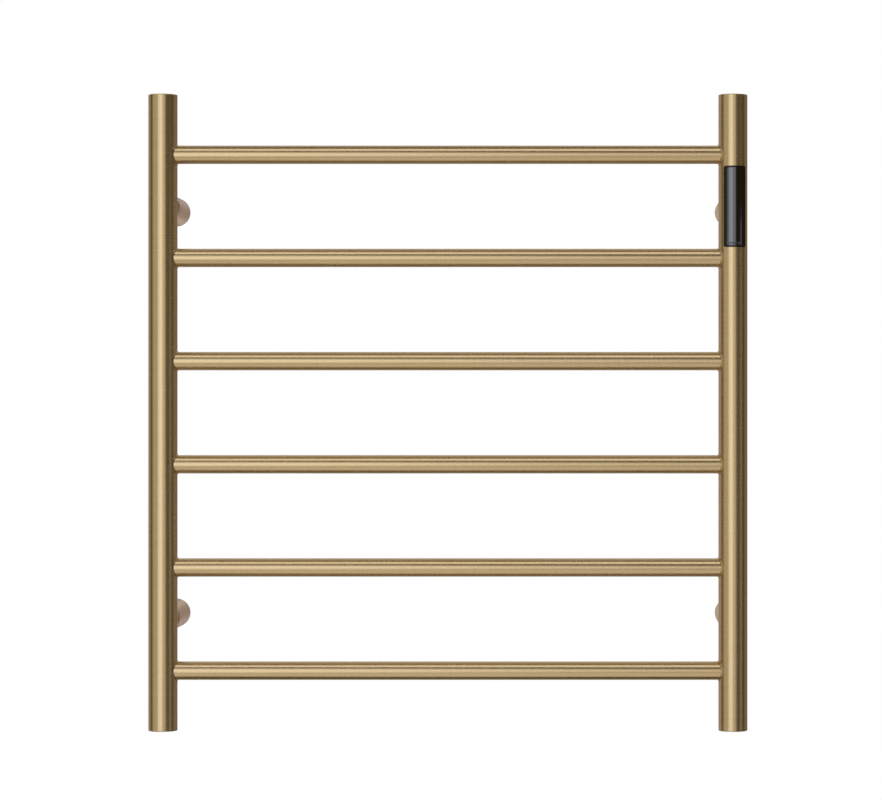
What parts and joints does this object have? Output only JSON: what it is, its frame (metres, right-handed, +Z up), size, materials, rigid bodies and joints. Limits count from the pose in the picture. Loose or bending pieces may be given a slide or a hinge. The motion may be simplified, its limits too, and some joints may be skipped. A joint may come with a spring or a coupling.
{
  "type": "electric towel rail",
  "caption": "Wall-hung electric towel rail in brushed brass: round bars between two round posts, black touch panel, adjustable wall brackets.",
  "frame": {"origin": "on the wall, at the centre of the four wall brackets", "axes": "+X to the right of someone facing the rail, +Y towards the wall, +Z up"},
  "size_m": [0.62, 0.12, 0.658],
  "materials": {
    "brushed_brass_gold": "satin, brushed round the tubes",
    "black_oxide_steel": "black oxide",
    "plain_steel": "zinc-plated",
    "black_panel": "polished",
    "black_rubber": "matt",
    "black_plastic": "moulded",
    "circuit_board": "satin green solder mask",
    "white_plastic": "moulded",
    "blue_plastic": "moulded",
    "tinned_copper": "tinned",
    "red_silicone": "matt silicone",
    "grey_sheath": "matt",
    "earth_sheath": "matt"
  },
  "bodies": {
    "rail": {"left_post": "brushed_brass_gold", "right_post": "brushed_brass_gold", "bar_1": "brushed_brass_gold", "bar_2": "brushed_brass_gold", "bar_3": "brushed_brass_gold", "bar_4": "brushed_brass_gold", "bar_5": "brushed_brass_gold", "bar_6": "brushed_brass_gold", "cap_left_top": "brushed_brass_gold", "cap_left_bottom": "brushed_brass_gold", "cap_right_top": "brushed_brass_gold", "cap_right_bottom": "brushed_brass_gold", "sleeve_upper_left": "brushed_brass_gold", "sleeve_upper_right": "brushed_brass_gold", "sleeve_lower_left": "brushed_brass_gold", "sleeve_lower_right": "brushed_brass_gold", "bracket_screw_upper_left": "black_oxide_steel", "bracket_screw_upper_right": "black_oxide_steel", "bracket_screw_lower_left": "black_oxide_steel", "bracket_screw_lower_right": "black_oxide_steel", "grub_screw_upper_left": "black_oxide_steel", "grub_screw_upper_right": "black_oxide_steel", "grub_screw_lower_left": "black_oxide_steel", "grub_screw_lower_right": "black_oxide_steel", "post_nut_upper_left": "plain_steel", "post_nut_upper_right": "plain_steel", "post_nut_lower_left": "plain_steel", "post_nut_lower_right": "plain_steel", "board_screw_top": "plain_steel", "board_screw_bottom": "plain_steel", "earth_screw": "plain_steel", "earth_nut": "plain_steel", "control_lens": "black_panel", "lens_gasket": "black_rubber", "cable_grommet": "black_rubber", "control_carrier": "black_plastic", "temperature_sensor": "black_plastic", "control_board": "circuit_board", "led_display": "white_plastic", "heater_terminal": "white_plastic", "supply_terminal": "white_plastic", "thermal_cutout": "white_plastic", "relay": "blue_plastic", "touch_spring_1": "tinned_copper", "touch_spring_2": "tinned_copper", "touch_spring_3": "tinned_copper", "crimp_splice": "tinned_copper", "earth_lug": "tinned_copper", "heating_cable": "red_silicone", "return_lead": "red_silicone", "cutout_lead": "red_silicone", "supply_lead": "grey_sheath", "earth_lead": "earth_sheath"},
    "base_upper_left": {"wall_base_upper_left": "brushed_brass_gold"},
    "base_upper_right": {"wall_base_upper_right": "brushed_brass_gold"},
    "base_lower_left": {"wall_base_lower_left": "brushed_brass_gold"},
    "base_lower_right": {"wall_base_lower_right": "brushed_brass_gold"}
  },
  "joints": [
    {"name": "upper_left_depth", "type": "slide", "parent": "rail", "child": "base_upper_left", "axis": [0, 1, 0], "range_m": [0, 0.02]},
    {"name": "upper_right_depth", "type": "slide", "parent": "rail", "child": "base_upper_right", "axis": [0, 1, 0], "range_m": [0, 0.02]},
    {"name": "lower_left_depth", "type": "slide", "parent": "rail", "child": "base_lower_left", "axis": [0, 1, 0], "range_m": [0, 0.02]},
    {"name": "lower_right_depth", "type": "slide", "parent": "rail", "child": "base_lower_right", "axis": [0, 1, 0], "range_m": [0, 0.02]}
  ]
}
